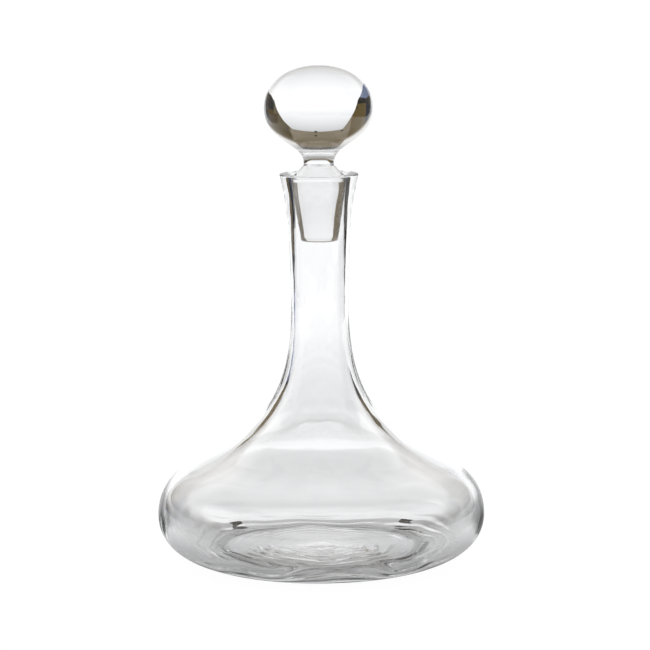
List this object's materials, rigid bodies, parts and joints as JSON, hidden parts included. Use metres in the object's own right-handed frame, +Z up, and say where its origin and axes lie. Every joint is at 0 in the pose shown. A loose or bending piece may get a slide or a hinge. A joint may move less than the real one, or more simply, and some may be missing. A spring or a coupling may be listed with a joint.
{
  "type": "wine decanter",
  "caption": "Clear glass decanter with a low, broad, rounded body, a long slender neck with a flared lip, and a lift-out solid stopper topped with a flattened ball.",
  "frame": {"origin": "centre of the foot ring, on the surface that the decanter stands on", "axes": "+Z up along the neck, through the middle of the stopper; the decanter is turned about it, so +X and +Y are any two directions across"},
  "size_m": [0.197, 0.197, 0.2997],
  "materials": {
    "vessel_glass": "polished clear blown glass",
    "stopper_glass": "polished clear solid glass"
  },
  "bodies": {
    "vessel": {"vessel": "vessel_glass"},
    "stopper": {"stopper": "stopper_glass"}
  },
  "joints": [
    {"name": "stopper_lift", "type": "slide", "parent": "vessel", "child": "stopper", "axis": [0, 0, 1], "range_m": [0, 0.045]}
  ]
}
